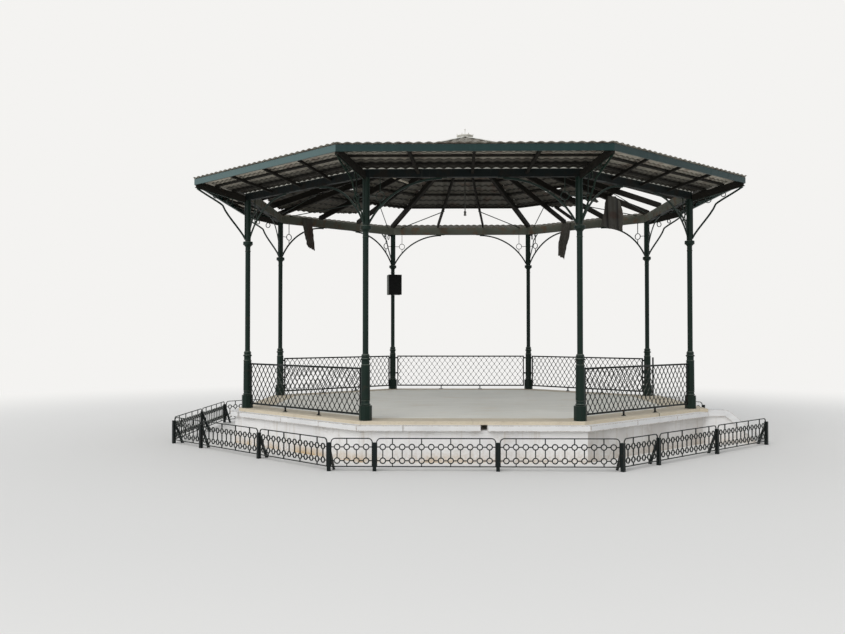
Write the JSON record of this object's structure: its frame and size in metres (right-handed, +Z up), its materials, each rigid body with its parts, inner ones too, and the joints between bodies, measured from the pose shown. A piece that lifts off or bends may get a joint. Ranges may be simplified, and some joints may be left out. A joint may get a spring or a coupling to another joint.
{
  "type": "bandstand",
  "caption": "Octagonal open bandstand: masonry plinth with a stair, slender iron columns with scrolled brackets, lattice railings, corrugated roof and rising canopy, low ring fence.",
  "frame": {"origin": "centre of the plinth on the ground", "axes": "+Z up, +X towards the stair, -Y the front opening; columns on a circle round the origin"},
  "size_m": [9.0207, 8.6022, 5.1327],
  "materials": {
    "limewashed_wall": "limewash, worn and stained",
    "painted_coping": "white paint, chipped",
    "stair_concrete": "trowelled concrete",
    "deck_concrete": "trowelled concrete",
    "border_stone": "sawn stone",
    "dark_green_iron": "gloss paint, dusty",
    "ring_beam_paint": "old paint with rust",
    "roof_timber": "weathered paint",
    "roof_sheet": "weathered sheet with rust",
    "pale_capping": "pale paint",
    "teal_fascia": "flaking paint",
    "black_iron": "satin paint with rust",
    "fence_iron": "satin paint with rust",
    "speaker_black": "faded",
    "lamp_metal": "rusted paint"
  },
  "bodies": {
    "root": {"plinth_wall": "limewashed_wall", "plinth_coping": "painted_coping", "deck_slab": "deck_concrete", "deck_border": "border_stone", "stair_step_lower": "stair_concrete", "stair_step_upper": "stair_concrete", "stair_flanks": "limewashed_wall", "stair_flank_bands": "painted_coping", "column_right_rear": "dark_green_iron", "column_rear_right": "dark_green_iron", "column_rear_left": "dark_green_iron", "column_left_rear": "dark_green_iron", "column_left_front": "dark_green_iron", "column_front_left": "dark_green_iron", "column_front_right": "dark_green_iron", "column_right_front": "dark_green_iron", "bracket_right_rear": "dark_green_iron", "bracket_rear_right": "dark_green_iron", "bracket_rear_left": "dark_green_iron", "bracket_left_rear": "dark_green_iron", "bracket_left_front": "dark_green_iron", "bracket_front_left": "dark_green_iron", "bracket_front_right": "dark_green_iron", "bracket_right_front": "dark_green_iron", "ring_beam": "ring_beam_paint", "roof_hips": "roof_timber", "roof_rafters": "roof_timber", "roof_braces": "dark_green_iron", "roof_purlins": "roof_timber", "roof_crown": "roof_timber", "roof_sheets": "roof_sheet", "hip_cappings": "pale_capping", "roof_cap": "pale_capping", "canopy_rafters": "roof_timber", "canopy_hips": "roof_timber", "canopy_battens": "roof_timber", "canopy_sheets": "roof_sheet", "canopy_fascia": "teal_fascia", "railing_rear_right": "black_iron", "railing_rear": "black_iron", "railing_rear_left": "black_iron", "railing_front_left": "black_iron", "railing_front_right": "black_iron", "fence_front": "fence_iron", "fence_front_right": "fence_iron", "fence_rear_right": "fence_iron", "fence_rear": "fence_iron", "fence_rear_left": "fence_iron", "fence_left": "fence_iron", "fence_front_left": "fence_iron", "loudspeaker": "speaker_black", "lamp_rod": "lamp_metal", "loose_sheets": "roof_sheet"}
  },
  "joints": []
}
